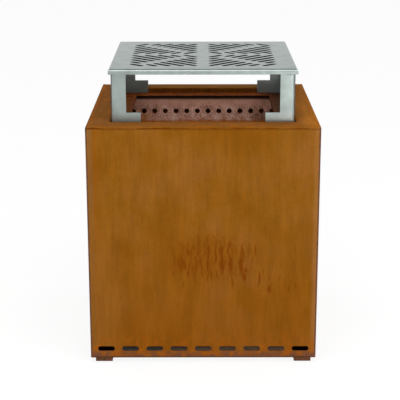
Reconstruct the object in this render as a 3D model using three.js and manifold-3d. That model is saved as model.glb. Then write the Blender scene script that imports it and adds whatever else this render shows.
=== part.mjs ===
// Smokeless fire pit: a square body of weathering steel, a burn chamber that drops in through its mouth,
// a fire grate over an ash pan, and a cooking stand that stands on the chamber's top ring.
// Millimetres, +Z up, the front faces -Y. The origin is on the ground under the middle of the body.

import * as THREE from 'three';
import { mergeVertices } from 'three/addons/utils/BufferGeometryUtils.js';
import Module from 'manifold-3d';

const wasm = await Module();
wasm.setup();

// Outer body
const bodyWidth = 400;
const bodyHeight = 420;
const bodySheet = 3;
const rimWidth = 40;
const lipDepth = 15;
const bodyBendRadius = 4;
const bodyCornerRadius = 3;
const seamGap = 0.3;

// Air slots low in each panel of the body
const airSlotCount = 9;
const airSlotLength = 30;
const airSlotWidth = 9;
const airSlotEndMargin = 28;
const airSlotHeight = 17;

// Base plate and feet
const baseSheet = 3;
const drainHoleDiameter = 8;
const drainHoleInset = 75;
const footWidth = 30;
const footHeight = 10;
const footInset = 8;

// Burn chamber
const chamberSheet = 3;
const chamberClearance = 1.5;
const ringDrop = 10;
const ringWidth = 29.5;
const ringOverhang = 8.5;
const seatGap = 0.3;
const airHoleCount = 14;
const airHoleDiameter = 10;
const airHoleDrop = 34.5;
const airHoleEndMargin = 13.5;
const draughtSlotCount = 5;
const draughtSlotLength = 30;
const draughtSlotWidth = 8;
const draughtSlotPitch = 43;

// Fire grate and its brackets
const grateSheet = 5;
const grateClearance = 2;
const grateHeight = 70;
const grateBearing = 10;
const grateCornerRadius = 4;
const grateSlotWidth = 12;
const grateSlotPitch = 24;
const grateBarWidth = 18;
const bracketSheet = 3;
const bracketBendRadius = 4;
const bracketDrop = 22;
const bracketLength = 160;

// Ash pan
const panSheet = 2;
const panHeight = 30;
const panClearance = 3;
const panBendRadius = 3;

// Cooking stand
const standHeight = 101;
const standClearance = 2;
const plateSheet = 3;
const plateOverhang = 4;
const plateEdgeDepth = 9;
const plateBendRadius = 4.5;
const legSheet = 3;
const legBendRadius = 6;
const legWidth = 25;
const toeLength = 51;
const toeHeight = 25;

// Slots of the cooking plate: four mirrored fields of parallel slots at 45 degrees
const fieldMargin = 34;
const fieldStripX = 20;
const fieldStripY = 14;
const cookSlotWidth = 9;
const cookSlotPitch = 23.5;
const cookBandWidth = 16;

// How far a cutter reaches past what it cuts, and how finely arcs are divided
const cutOverrun = 2;
const foldSteps = 4;
const cornerSteps = 3;
const slotEndSteps = 5;
const holeSteps = 12;

// Sizes that follow from those above
const rimOpening = bodyWidth - 2 * rimWidth;
const ringOuterWidth = rimOpening - 2 * chamberClearance;
const ringOpening = ringOuterWidth - 2 * ringWidth;
const chamberWidth = ringOuterWidth - 2 * ringOverhang;
const chamberInnerWidth = chamberWidth - 2 * chamberSheet;
const grateWidth = ringOpening - 2 * grateClearance;
const bracketOpening = grateWidth - 2 * grateBearing;
const bracketReach = (chamberInnerWidth - bracketOpening) / 2 - seamGap;
const panWidth = bracketOpening - 2 * panClearance;
const standWidth = rimOpening - 2 * standClearance;
const plateWidth = standWidth + 2 * plateOverhang;

const bodyBottomZ = footHeight;
const baseTopZ = bodyBottomZ + baseSheet;
const rimTopZ = bodyBottomZ + bodyHeight;
const ringTopZ = rimTopZ - ringDrop;
const chamberBottomZ = baseTopZ + seatGap;
const chamberTopZ = ringTopZ - chamberSheet - seamGap;
const bracketTopZ = baseTopZ + grateHeight;
const plateTopZ = ringTopZ + standHeight;
const legBottomZ = ringTopZ + seatGap;
const legTopZ = plateTopZ - plateSheet - seamGap;

const QUARTER_TURN = Math.PI / 2;

// Materials

function steel(color, roughness, metalness) {
  return new THREE.MeshStandardMaterial({ color, roughness, metalness });
}

const weatheredSteel = steel(0x8f5a1c, 0.85, 0.2);
const firedSteel = steel(0x7e5a50, 0.9, 0.2);
const scaledSteel = steel(0x4a4644, 0.8, 0.5);
const zincSteel = steel(0xa8b0ac, 0.45, 0.9);

// Outlines: each is a list of points of a closed polygon

function arc(x, y, radius, fromAngle, toAngle, steps) {
  const points = [];
  for (let i = 0; i <= steps; i += 1) {
    const angle = THREE.MathUtils.lerp(fromAngle, toAngle, i / steps);
    points.push(new THREE.Vector2(x + radius * Math.cos(angle), y + radius * Math.sin(angle)));
  }
  return points;
}

function rectangle(width, height, x = 0, y = 0) {
  return [
    new THREE.Vector2(x - width / 2, y - height / 2),
    new THREE.Vector2(x + width / 2, y - height / 2),
    new THREE.Vector2(x + width / 2, y + height / 2),
    new THREE.Vector2(x - width / 2, y + height / 2),
  ];
}

function roundedSquare(width, radius) {
  const reach = width / 2 - radius;
  const corners = [[reach, reach], [-reach, reach], [-reach, -reach], [reach, -reach]];
  return corners.flatMap(([x, y], turn) =>
    arc(x, y, radius, turn * QUARTER_TURN, (turn + 1) * QUARTER_TURN, cornerSteps),
  );
}

function circle(diameter, x, y) {
  return arc(x, y, diameter / 2, 0, 2 * Math.PI, holeSteps).slice(0, -1);
}

// A slot with round ends, drawn between the centres of its ends
function slot(start, end, width) {
  const along = Math.atan2(end.y - start.y, end.x - start.x);
  return [
    ...arc(end.x, end.y, width / 2, along - QUARTER_TURN, along + QUARTER_TURN, slotEndSteps),
    ...arc(start.x, start.y, width / 2, along + QUARTER_TURN, along + 3 * QUARTER_TURN, slotEndSteps),
  ];
}

function levelSlot(length, width, x, y) {
  const reach = (length - width) / 2;
  return slot(new THREE.Vector2(x - reach, y), new THREE.Vector2(x + reach, y), width);
}

// A sheet folded along a path: the path is its outer side, and every fold turns left, towards its inner side
function foldedSheet(path, thickness, radius) {
  const outer = [path[0]];
  const inner = [];
  const leftOf = (from, to) => {
    const along = to.clone().sub(from).normalize();
    return new THREE.Vector2(-along.y, along.x);
  };
  const offset = (point, normal) => point.clone().addScaledVector(normal, thickness);
  inner.push(offset(path[0], leftOf(path[0], path[1])));
  for (let i = 1; i < path.length - 1; i += 1) {
    const before = leftOf(path[i - 1], path[i]);
    const after = leftOf(path[i], path[i + 1]);
    const centre = path[i].clone().addScaledVector(before, radius).addScaledVector(after, radius);
    const start = before.clone().negate().angle();
    const bend = (bendRadius) =>
      arc(centre.x, centre.y, bendRadius, start, start + QUARTER_TURN, foldSteps);
    outer.push(...bend(radius));
    inner.push(...bend(radius - thickness));
  }
  const last = path.length - 1;
  outer.push(path[last]);
  inner.push(offset(path[last], leftOf(path[last - 1], path[last])));
  return [...outer, ...inner.reverse()];
}

// Solids

function extrude(outline, depth, holes = []) {
  const shape = new THREE.Shape(outline);
  shape.holes = holes.map((hole) => new THREE.Path(hole));
  return new THREE.ExtrudeGeometry(shape, { depth, bevelEnabled: false });
}

// A flat sheet that stands upright: the outline's y becomes height, and it is as thick towards +Y
function uprightSheet(outline, thickness, holes = []) {
  return extrude(outline, thickness, holes).rotateX(QUARTER_TURN).translate(0, thickness, 0);
}

// A folded profile carried along X: the outline's x runs towards +Y, and its y becomes height
function alongX(outline, length) {
  const turn = new THREE.Matrix4().makeBasis(
    new THREE.Vector3(0, 1, 0),
    new THREE.Vector3(0, 0, 1),
    new THREE.Vector3(1, 0, 0),
  );
  return extrude(outline, length).applyMatrix4(turn).translate(-length / 2, 0, 0);
}

function solidOf(geometry) {
  const bare = geometry.clone();
  bare.deleteAttribute('normal');
  bare.deleteAttribute('uv');
  const merged = mergeVertices(bare);
  return new wasm.Manifold(new wasm.Mesh({
    numProp: 3,
    vertProperties: new Float32Array(merged.attributes.position.array),
    triVerts: new Uint32Array(merged.index.array),
  }));
}

function geometryOf(solid) {
  const { vertProperties, triVerts } = solid.getMesh();
  const geometry = new THREE.BufferGeometry();
  geometry.setAttribute('position', new THREE.BufferAttribute(new Float32Array(vertProperties), 3));
  geometry.setIndex(new THREE.BufferAttribute(new Uint32Array(triVerts), 1));
  const flat = geometry.toNonIndexed();
  flat.computeVertexNormals();
  return flat;
}

// Scene graph

const SIDES = ['front', 'right', 'back', 'left'];
const CORNERS = ['front_left', 'front_right', 'back_right', 'back_left'];

const firePit = new THREE.Group();
const body = new THREE.Group();
const burnChamber = new THREE.Group();
const cookingStand = new THREE.Group();
firePit.add(body, burnChamber, cookingStand);

function addPiece(parent, name, geometry, material, turn = 0) {
  const piece = new THREE.Mesh(geometry, material);
  piece.name = name;
  piece.rotation.z = turn * QUARTER_TURN;
  parent.add(piece);
  return piece;
}

// Evenly spaced places of a row that is centred on zero
function rowPlaces(count, pitch) {
  return Array.from({ length: count }, (_, i) => (i - (count - 1) / 2) * pitch);
}

// Body panel: one sheet folded at the top into the rim and down into the lip, mitred at both ends

// Plan of the quarter of the body that the front panel keeps: a wedge to the centre, a little short of the
// mitres for the seams, with the ground corners rounded and the face left free
function mitreOutline() {
  const half = bodyWidth / 2;
  const reach = half - bodyCornerRadius;
  const seamAngle = Math.PI * 1.75 - Math.acos(seamGap / (2 * bodyCornerRadius));
  const left = arc(-reach, -reach, bodyCornerRadius, seamAngle, Math.PI * 1.5, cornerSteps);
  const right = left.map((point) => new THREE.Vector2(-point.x, point.y)).reverse();
  return [
    new THREE.Vector2(0, -seamGap / Math.SQRT2),
    ...left,
    new THREE.Vector2(-reach, -half - cutOverrun),
    new THREE.Vector2(reach, -half - cutOverrun),
    ...right,
  ];
}

function panelGeometry() {
  const profile = foldedSheet(
    [
      new THREE.Vector2(rimWidth, bodyHeight - lipDepth),
      new THREE.Vector2(rimWidth, bodyHeight),
      new THREE.Vector2(0, bodyHeight),
      new THREE.Vector2(0, 0),
    ],
    bodySheet,
    bodyBendRadius,
  );
  const sheet = solidOf(alongX(profile, bodyWidth).translate(0, -bodyWidth / 2, 0));
  const wedge = extrude(mitreOutline(), bodyHeight + 2 * cutOverrun).translate(0, 0, -cutOverrun);
  let panel = sheet.intersect(solidOf(wedge));
  const pitch = (bodyWidth - 2 * airSlotEndMargin) / (airSlotCount - 1);
  for (const x of rowPlaces(airSlotCount, pitch)) {
    const outline = levelSlot(airSlotLength, airSlotWidth, x, airSlotHeight);
    const cutter = uprightSheet(outline, bodySheet + 2 * cutOverrun);
    panel = panel.subtract(solidOf(cutter.translate(0, -bodyWidth / 2 - cutOverrun, 0)));
  }
  return geometryOf(panel);
}

function addBodyPanels() {
  const geometry = panelGeometry();
  SIDES.forEach((side, turn) => {
    addPiece(body, `${side}_panel`, geometry, weatheredSteel, turn).position.z = bodyBottomZ;
  });
}

// Base plate: fits between the panels, with a drain hole towards each corner
function addBasePlate() {
  const width = bodyWidth - 2 * (bodySheet + seamGap);
  const reach = bodyWidth / 2 - drainHoleInset;
  const holes = rowPlaces(2, 2 * reach).flatMap((x) =>
    rowPlaces(2, 2 * reach).map((y) => circle(drainHoleDiameter, x, y)),
  );
  const plate = extrude(rectangle(width, width), baseSheet, holes);
  addPiece(body, 'base_plate', plate, weatheredSteel).position.z = bodyBottomZ;
}

// Feet: square pads of flat bar under the base plate
function addFeet() {
  const place = bodyWidth / 2 - footInset - footWidth / 2;
  const pad = extrude(rectangle(footWidth, footWidth, -place, -place), footHeight);
  CORNERS.forEach((corner, turn) => {
    addPiece(body, `foot_${corner}`, pad, weatheredSteel, turn);
  });
}

// Burn chamber walls: a row of air holes near the top and draught slots behind the body's own slots.
// The front and back walls cover the ends of the side walls.
function chamberWall(width) {
  const pitch = (chamberWidth - 2 * airHoleEndMargin) / (airHoleCount - 1);
  const airHoles = rowPlaces(airHoleCount, pitch).map((x) =>
    circle(airHoleDiameter, x, ringTopZ - airHoleDrop - chamberBottomZ),
  );
  const draughtSlots = rowPlaces(draughtSlotCount, draughtSlotPitch).map((x) =>
    levelSlot(draughtSlotLength, draughtSlotWidth, x, bodyBottomZ + airSlotHeight - chamberBottomZ),
  );
  const height = chamberTopZ - chamberBottomZ;
  const outline = rectangle(width, height, 0, height / 2);
  return uprightSheet(outline, chamberSheet, [...airHoles, ...draughtSlots])
    .translate(0, -chamberWidth / 2, chamberBottomZ);
}

function addChamberWalls() {
  const coverWall = chamberWall(chamberWidth);
  const innerWall = chamberWall(chamberInnerWidth - 2 * seamGap);
  SIDES.forEach((side, turn) => {
    const geometry = turn % 2 === 0 ? coverWall : innerWall;
    addPiece(burnChamber, `chamber_${side}_wall`, geometry, firedSteel, turn);
  });
}

// Top ring: closes the air gap, overhangs the walls on both sides and carries the cooking stand
function addTopRing() {
  const ring = extrude(rectangle(ringOuterWidth, ringOuterWidth), chamberSheet, [
    rectangle(ringOpening, ringOpening),
  ]);
  addPiece(burnChamber, 'chamber_top_ring', ring, weatheredSteel).position.z = ringTopZ - chamberSheet;
}

// Grate brackets: an angle on each wall, its level leg reaching in under the edge of the grate
function addGrateBrackets() {
  const profile = foldedSheet(
    [
      new THREE.Vector2(bracketReach, 0),
      new THREE.Vector2(0, 0),
      new THREE.Vector2(0, -bracketDrop),
    ],
    bracketSheet,
    bracketBendRadius,
  );
  const wallFace = chamberInnerWidth / 2 - seamGap;
  const bracket = alongX(profile, bracketLength).translate(0, -wallFace, bracketTopZ);
  SIDES.forEach((side, turn) => {
    addPiece(burnChamber, `grate_bracket_${side}`, bracket, firedSteel, turn);
  });
}

// Fire grate: two rows of slots either side of a middle bar, kept clear of the brackets under its edge
function addFireGrate() {
  const slotField = bracketOpening - grateBarWidth;
  const slotReach = (slotField - grateBarWidth) / 4 - grateSlotWidth / 2;
  const rowCentre = (slotField + grateBarWidth) / 4;
  const count = Math.floor((slotField - grateSlotWidth) / grateSlotPitch) + 1;
  const slots = rowPlaces(count, grateSlotPitch).flatMap((x) =>
    [-rowCentre, rowCentre].map((y) =>
      slot(new THREE.Vector2(x, y - slotReach), new THREE.Vector2(x, y + slotReach), grateSlotWidth),
    ),
  );
  const grate = extrude(roundedSquare(grateWidth, grateCornerRadius), grateSheet, slots);
  addPiece(burnChamber, 'fire_grate', grate, scaledSteel).position.z = bracketTopZ + seatGap;
}

// Ash pan: a tray with turned-up walls, small enough to lift out between the brackets
function addAshPan() {
  const outer = solidOf(extrude(roundedSquare(panWidth, panBendRadius), panHeight));
  const innerWidth = panWidth - 2 * panSheet;
  const hollow = extrude(roundedSquare(innerWidth, panBendRadius - panSheet), panHeight)
    .translate(0, 0, panSheet);
  const tray = geometryOf(outer.subtract(solidOf(hollow)));
  addPiece(firePit, 'ash_pan', tray, scaledSteel).position.z = chamberBottomZ;
}

// Cooking plate: slots follow the lines |x| + |y| = constant, which draw nested diamonds round the centre.
// A plain band along each field's diagonal divides every slot that is long enough to leave two.
function fieldSlots(signX, signY) {
  const outerEdge = plateWidth / 2 - fieldMargin;
  const insetX = fieldStripX / 2 + cookSlotWidth / 2;
  const insetY = fieldStripY / 2 + cookSlotWidth / 2;
  const far = outerEdge - cookSlotWidth / 2;
  const bandReach = (cookBandWidth + cookSlotWidth) / (2 * Math.SQRT2);
  const middle = (insetX + insetY) / 2 + far;
  const count = Math.floor((2 * far - insetX - insetY - cookSlotWidth) / (2 * cookSlotPitch));
  const slots = [];
  for (let k = -count; k <= count; k += 1) {
    const sum = middle + k * cookSlotPitch;
    const low = Math.max(insetX, sum - far);
    const high = Math.min(far, sum - insetY);
    const centre = (low + high) / 2;
    const pieces = high - low > 2 * (bandReach + cookSlotWidth)
      ? [[low, centre - bandReach], [centre + bandReach, high]]
      : [[low, high]];
    for (const [from, to] of pieces) {
      slots.push(slot(
        new THREE.Vector2(signX * from, signY * (sum - from)),
        new THREE.Vector2(signX * to, signY * (sum - to)),
        cookSlotWidth,
      ));
    }
  }
  return slots;
}

function cookingPlateGeometry() {
  const flatWidth = plateWidth - 2 * plateBendRadius;
  const slots = [[-1, -1], [1, -1], [1, 1], [-1, 1]].flatMap(([x, y]) => fieldSlots(x, y));
  const top = extrude(rectangle(flatWidth, flatWidth), plateSheet, slots).translate(0, 0, -plateSheet);
  const edgeProfile = foldedSheet(
    [
      new THREE.Vector2(plateBendRadius + cutOverrun, 0),
      new THREE.Vector2(0, 0),
      new THREE.Vector2(0, -plateEdgeDepth),
    ],
    plateSheet,
    plateBendRadius,
  );
  let plate = solidOf(top);
  SIDES.forEach((_, turn) => {
    const edge = alongX(edgeProfile, flatWidth).translate(0, -plateWidth / 2, 0);
    plate = plate.add(solidOf(edge.rotateZ(turn * QUARTER_TURN)));
  });
  return geometryOf(plate);
}

// Leg: an angle as wide as its toes, cut back above them to the width of the leg
function legGeometry() {
  const height = legTopZ - legBottomZ;
  const section = foldedSheet(
    [
      new THREE.Vector2(0, toeLength),
      new THREE.Vector2(0, 0),
      new THREE.Vector2(toeLength, 0),
    ],
    legSheet,
    legBendRadius,
  );
  const cutLength = toeLength - legWidth + cutOverrun;
  const cutHeight = height - toeHeight + cutOverrun;
  const cutDepth = legSheet + 2 * cutOverrun;
  const cutMiddle = legWidth + cutLength / 2;
  const cutZ = toeHeight + cutHeight / 2;
  const alongFront = new THREE.BoxGeometry(cutLength, cutDepth, cutHeight)
    .translate(cutMiddle, legSheet / 2, cutZ);
  const alongSide = new THREE.BoxGeometry(cutDepth, cutLength, cutHeight)
    .translate(legSheet / 2, cutMiddle, cutZ);
  const leg = solidOf(extrude(section, height)).subtract(solidOf(alongFront)).subtract(solidOf(alongSide));
  return geometryOf(leg).translate(-standWidth / 2, -standWidth / 2, 0);
}

function addCookingStand() {
  addPiece(cookingStand, 'cooking_plate', cookingPlateGeometry(), zincSteel).position.z = plateTopZ;
  const leg = legGeometry();
  CORNERS.forEach((corner, turn) => {
    addPiece(cookingStand, `stand_leg_${corner}`, leg, zincSteel, turn).position.z = legBottomZ;
  });
}

addBodyPanels();
addBasePlate();
addFeet();
addChamberWalls();
addTopRing();
addGrateBrackets();
addFireGrate();
addAshPan();
addCookingStand();

export default firePit;
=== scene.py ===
"""Smokeless fire pit with a cooking stand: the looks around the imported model, laid out as an add-on."""

import math
from functools import partial

import bmesh
import bpy
import numpy as np
from bpy.props import FloatProperty, FloatVectorProperty, PointerProperty
from mathutils import Matrix, Vector
from mathutils.geometry import delaunay_2d_cdt


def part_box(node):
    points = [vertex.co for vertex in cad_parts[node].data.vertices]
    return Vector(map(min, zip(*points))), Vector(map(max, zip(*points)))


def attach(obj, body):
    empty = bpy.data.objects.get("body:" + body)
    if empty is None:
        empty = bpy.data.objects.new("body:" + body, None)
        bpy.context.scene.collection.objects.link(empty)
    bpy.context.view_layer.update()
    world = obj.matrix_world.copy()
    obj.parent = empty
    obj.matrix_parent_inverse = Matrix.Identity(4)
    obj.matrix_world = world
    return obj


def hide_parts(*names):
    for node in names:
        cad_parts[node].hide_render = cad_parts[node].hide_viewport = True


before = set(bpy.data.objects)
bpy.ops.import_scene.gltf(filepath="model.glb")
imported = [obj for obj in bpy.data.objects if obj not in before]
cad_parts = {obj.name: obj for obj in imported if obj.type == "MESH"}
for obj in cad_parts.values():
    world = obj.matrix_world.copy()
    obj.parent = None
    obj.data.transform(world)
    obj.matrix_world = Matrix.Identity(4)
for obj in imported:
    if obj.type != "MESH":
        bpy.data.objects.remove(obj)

bl_info = {
    "name": "Smokeless Fire Pit",
    "version": (1, 0, 0),
    "blender": (4, 5, 0),
    "location": "3D View > Sidebar > Fire Pit",
    "description": "Builds the steel sheets, welds, finishes and studio of a square smokeless fire pit",
    "category": "Object",
}

MM = 0.001
QUARTER_TURN = math.pi / 2
SIDES = ("front", "right", "back", "left")
CORNERS = ("front_left", "front_right", "back_right", "back_left")
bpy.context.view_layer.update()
DIAGONAL = math.sqrt(0.5)
SHARP_ANGLE = math.radians(30)
# How many air slots a panel has, and how many air holes and draught slots a chamber wall has
AIR_SLOTS, AIR_HOLES, DRAUGHT_SLOTS = 9, 14, 5
RING_OPENING = 258 * MM
DRAIN_HOLE, DRAIN_INSET = 8 * MM, 75 * MM
# The grate's plain border, the bar between its two rows of slots, the slots' width and their pitch
GRATE_BEARING, GRATE_BAR, GRATE_SLOT, GRATE_PITCH = 10 * MM, 18 * MM, 12 * MM, 24 * MM
# Plain metal from the cooking plate's edge to its slots, and from its middle lines to them, across and along
COOK_EDGE_MARGIN, COOK_MIDDLE_MARGINS = 34 * MM, (10 * MM, 7 * MM)
# Radii of corners and of edges that aren't as cut
RING_CORNER, BASE_CORNER, FOOT_CORNER = 0.6 * MM, 1 * MM, 1.5 * MM
GRATE_CORNER, PAN_CORNER, TOE_FILLET = 4 * MM, 3 * MM, 1 * MM
FOOT_EDGE, GRATE_EDGE = 0.8 * MM, 0.6 * MM
# The bead on a mitre: its width and height, how far it sinks in, and how much it ripples
MITRE_BEAD = (3 * MM, 0.15 * MM, 0.5 * MM, 0.2)
# How far a fillet weld sinks in, and how much it ripples
FILLET = (1 * MM, 0.25)


def top_of(node):
    """Height of a CAD node's highest point."""
    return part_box(node)[1].z


def bottom_of(node):
    """Height of a CAD node's lowest point."""
    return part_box(node)[0].z


def width_of(node):
    """Size of a CAD node from left to right."""
    low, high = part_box(node)
    return high.x - low.x


# Sizes and colours


def length(name, description, default):
    """A length that the user can change, in metres."""
    return FloatProperty(name=name, description=description, default=default, unit="LENGTH", min=0)


def linear(hex_colour):
    """Linear RGBA of an sRGB hex colour: c / 12.92 up to 0.04045, and ((c + 0.055) / 1.055) ** 2.4 above."""
    channels = [int(hex_colour[i:i + 2], 16) / 255 for i in (1, 3, 5)]
    return (*[c / 12.92 if c <= 0.04045 else ((c + 0.055) / 1.055) ** 2.4 for c in channels], 1.0)


def tone(name, description, hex_colour):
    """A colour that the user can change."""
    return FloatVectorProperty(name=name, description=description, default=linear(hex_colour),
                               subtype="COLOR", size=4, min=0, max=1)


class FirePitSizes(bpy.types.PropertyGroup):
    """Sizes of the sheets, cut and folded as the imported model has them."""

    body_width: length("Body width", "Outer width of the square body", -2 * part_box("front_panel")[0].y)
    body_bottom: length("Body bottom", "Height of the panels' lower edge", bottom_of("front_panel"))
    body_top: length("Body top", "Height of the rim", top_of("front_panel"))
    sheet: length("Sheet", "Thickness of the body, chamber and stand", 3 * MM)
    rim_width: length("Rim width", "Width of the rim folded in at the top", 40 * MM)
    lip_depth: length("Lip depth", "Depth of the lip folded down round the mouth", 15 * MM)
    fold_radius: length("Fold radius", "Outer radius of the body's folds", 4 * MM)
    leg_radius: length("Leg fold", "Outer radius of the fold along each leg", 6 * MM)
    corner_radius: length("Corner radius", "Radius of the ground corner welds", 3 * MM)
    slot_length: length("Slot length", "Length of the air slots", 30 * MM)
    slot_width: length("Slot width", "Width of the air slots", 9 * MM)
    slot_pitch: length("Slot pitch", "Distance between the middles of the air slots", 43 * MM)
    slot_height: length("Slot height", "Height of the air slots over the panels' lower edge", 17 * MM)
    draught_width: length("Draught slot width", "Width of the draught slots in the chamber", 8 * MM)
    hole_diameter: length("Air hole", "Diameter of the air holes in the chamber", 10 * MM)
    hole_drop: length("Air hole drop", "Depth of the air holes under the top ring", 34.5 * MM)
    hole_margin: length("Air hole margin", "From a wall's end to the middle of its last air hole", 13.5 * MM)
    pan_sheet: length("Pan sheet", "Thickness of the ash pan", 2 * MM)
    toe_length: length("Toe length", "Length of a leg's toes", 51 * MM)
    toe_height: length("Toe height", "Height of a leg's toes", 25 * MM)
    leg_width: length("Leg width", "Width of each side of a leg", 25 * MM)
    plate_radius: length("Plate fold", "Outer radius of the cooking plate's fold", 4.5 * MM)
    cook_slot_width: length("Cooking slot width", "Width of the slots in the cooking plate", 9 * MM)
    cook_slot_pitch: length("Cooking slot pitch", "Step of |x| + |y| from slot to slot", 23.5 * MM)
    cook_band: length("Cooking plate band", "Plain band along each field's diagonal", 16 * MM)
    cut_edge: length("Cut edge", "Rounding of cut edges", 0.4 * MM)
    bead_width: length("Bead width", "Width of the weld beads", 5 * MM)
    bead_height: length("Bead height", "Height of the weld beads", 1.6 * MM)
    ripple_pitch: length("Ripple pitch", "Distance between the ripples of a weld bead", 2.4 * MM)


class FirePitColours(bpy.types.PropertyGroup):
    """Colours of the finishes."""

    patina_dark: tone("Patina, dark", "Darker clouds of the rust patina", "#85500C")
    patina: tone("Patina", "Middle tone of the rust patina", "#8B5713")
    patina_light: tone("Patina, light", "Lighter clouds of the rust patina", "#915C20")
    patina_low: tone("Patina, low", "Redder patina towards the ground", "#864A08")
    dull_rust: tone("Dull rust", "Greyish brown rust beside the corner welds", "#85633E")
    dry_rust: tone("Dry rust", "Light brown rust beside the corner welds", "#A87440")
    bruise: tone("Bruised rust", "Purplish brown rust low down and in the slots", "#6C4438")
    fresh_rust: tone("Fresh rust", "Orange rust beside the welds and low down", "#A3560B")
    dark_fold_line: tone("Water lines", "Dark lines where water stands on the fold", "#6A3306")
    # Also gives the painted shade at the top ring's right
    wet_edge_and_shade: tone("Wet edge", "Dark line along the lower edge", "#4E3828")
    rim_brown: tone("Rim", "Rust patina on the rim", "#80501E")
    rim_golden: tone("Rim, golden", "Rust patina on the rim's right front", "#A3671F")
    rim_back: tone("Rim, back", "Rust patina on the rim's back", "#8C5F28")
    run_mark: tone("Run marks", "Reddish rust where water ran down", "#783B04")
    weld: tone("Corner welds and feet", "Ground and rusted steel", "#744C32")
    # Also gives the painted shade at the top ring's left front
    sooted_rust_and_shade: tone("Sooted rust", "Inner side of the sheets and the lip round the mouth", "#5E330C")
    ring: tone("Top ring", "Weathering steel browned by the fire", "#884310")
    ring_dark: tone("Top ring, dark", "Soot and scale on the top ring", "#58260A")
    # Also painted shade: the ring's edge, underside and right, the band just under the ring, and the base's
    # corners
    soot_and_shade: tone("Soot", "Sooted edges", "#210C04")
    fired_dark: tone("Fired steel, dark", "Dark freckles of the fired steel", "#9A6B58")
    fired: tone("Fired steel", "Middle tone of the fired steel", "#D8A48D")
    fired_light: tone("Fired steel, light", "Pale freckles of the fired steel", "#EAC9B8")
    fired_rust: tone("Fired steel, rusted", "Orange rust lower down on the fired steel", "#C2722A")
    chamber_back: tone("Chamber, outer side", "Browned outer side of the burn chamber", "#6F4B33")
    ash_dust: tone("Ash dust", "Pinkish ash and rust dust on the base plate", "#EEC4A0")
    scale: tone("Mill scale", "Dark scale of hot-rolled steel", "#3B3A3B")
    # Also the darker corner rust at the chamber's right, which is painted shade
    scale_rust_and_shade: tone("Mill scale, rusted", "Rust that breaks through the scale", "#6E4527")
    # Also the painted shade at the base plate's left
    zinc_dark_and_shade: tone("Zinc, dark", "Darker spangle of the zinc coating", "#919A96")
    zinc_light: tone("Zinc, light", "Lighter spangle of the zinc coating", "#A0AAA6")
    # Painted light on the toes
    zinc_painted_light: tone("Zinc, pale", "Paler zinc towards the toes", "#B6BDBA")
    # Also the painted shade on the legs' inner sides and in the slot walls
    zinc_cut_and_shade: tone("Zinc, cut edges", "Laser-cut edges of the plate's slots", "#262A29")


class FirePitStudio(bpy.types.PropertyGroup):
    """Camera, lamps and backdrop."""

    lens: FloatProperty(name="Lens", description="Focal length of the camera", default=110.33,
                        subtype="DISTANCE_CAMERA", min=1)
    floor_reach: length("Floor reach", "From the middle of the floor to its edges", 30.0)
    sky: FloatProperty(name="Sky", description="Strength of the white surroundings as a light", default=0.55,
                       min=0)
    floor_white: FloatProperty(name="Floor white", description="How far the floor is seen as plain white",
                               default=0.78, subtype="FACTOR", min=0, max=1)


# Nodes and materials

# Settings of a node that lays a colour over another, of one that tints a colour, and of one that multiplies
COLOURS = {"data_type": "RGBA"}
TINTED = {"data_type": "RGBA", "blend_type": "MULTIPLY"}
PRODUCT = {"operation": "MULTIPLY"}
RELIEF = 0.4 * MM


def add_node(tree, kind, *values, inputs=None, **settings):
    """Adds a shader node, sets its properties, and links or sets its live inputs, in their order or by name.

    A node given as a value is linked by its first live output, and None leaves an input as it is. A noise
    takes its place, its scale in patches to the metre, which is 1000 over their size in mm, its detail and
    its roughness.
    """
    node = tree.nodes.new("ShaderNode" + kind)
    for name, value in settings.items():
        setattr(node, name, value)
    live = [socket for socket in node.inputs if socket.enabled]
    named = [(node.inputs[name], value) for name, value in (inputs or {}).items()]
    for socket, value in (*zip(live, values), *named):
        if isinstance(value, bpy.types.Node):
            value = next(output for output in value.outputs if output.enabled)
        if isinstance(value, bpy.types.NodeSocket):
            tree.links.new(value, socket)
        elif value is not None:
            socket.default_value = value
    return node


def new_material(name):
    """An empty node material, and add_node for its tree."""
    material = bpy.data.materials.new(name)
    material.use_nodes = True
    material.node_tree.nodes.clear()
    return material, partial(add_node, material.node_tree)


def new_finish(name):
    """A new material, add_node for its tree, the place on the piece, and its x, y and z."""
    material, add = new_material(name)
    place = add("TexCoord").outputs["Object"]
    return material, add, place, *add("SeparateXYZ", place).outputs


def matt_surface(material, add, colour, roughness, specular, grain=None, strength=0.0):
    """Ends a finish with its shader. A grain gives the surface relief and makes it scatter light."""
    inputs = {"Base Color": colour, "Roughness": roughness, "Specular IOR Level": specular}
    if grain:
        inputs["Diffuse Roughness"] = 0.6
        inputs["Normal"] = add("Bump", strength, RELIEF, None, grain)
    add("OutputMaterial", add("BsdfPrincipled", inputs=inputs))
    return material


def set_stops(node, stops):
    """Sets a Color Ramp's stops from pairs of position and RGBA."""
    elements = node.color_ramp.elements
    while len(elements) > 1:
        elements.remove(elements[-1])
    elements[0].position, elements[0].color = stops[0]
    for position, colour in stops[1:]:
        elements.new(position).color = colour
    return node


def rim_tone(add, x, y, colours, sizes):
    """Colour of the rim: brown, and golden on the right, most of all at its front. It runs over the mitre."""
    half = sizes.body_width / 2
    right = add("MapRange", x, half - sizes.rim_width, half - 15 * MM)
    front = add("MapRange", y, 0.6 * half, -0.7 * half, 0.25, 1.0)
    golden = add("Math", right, front, **PRODUCT)
    return add("Mix", golden, colours.rim_brown, colours.rim_golden, **COLOURS)


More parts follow.
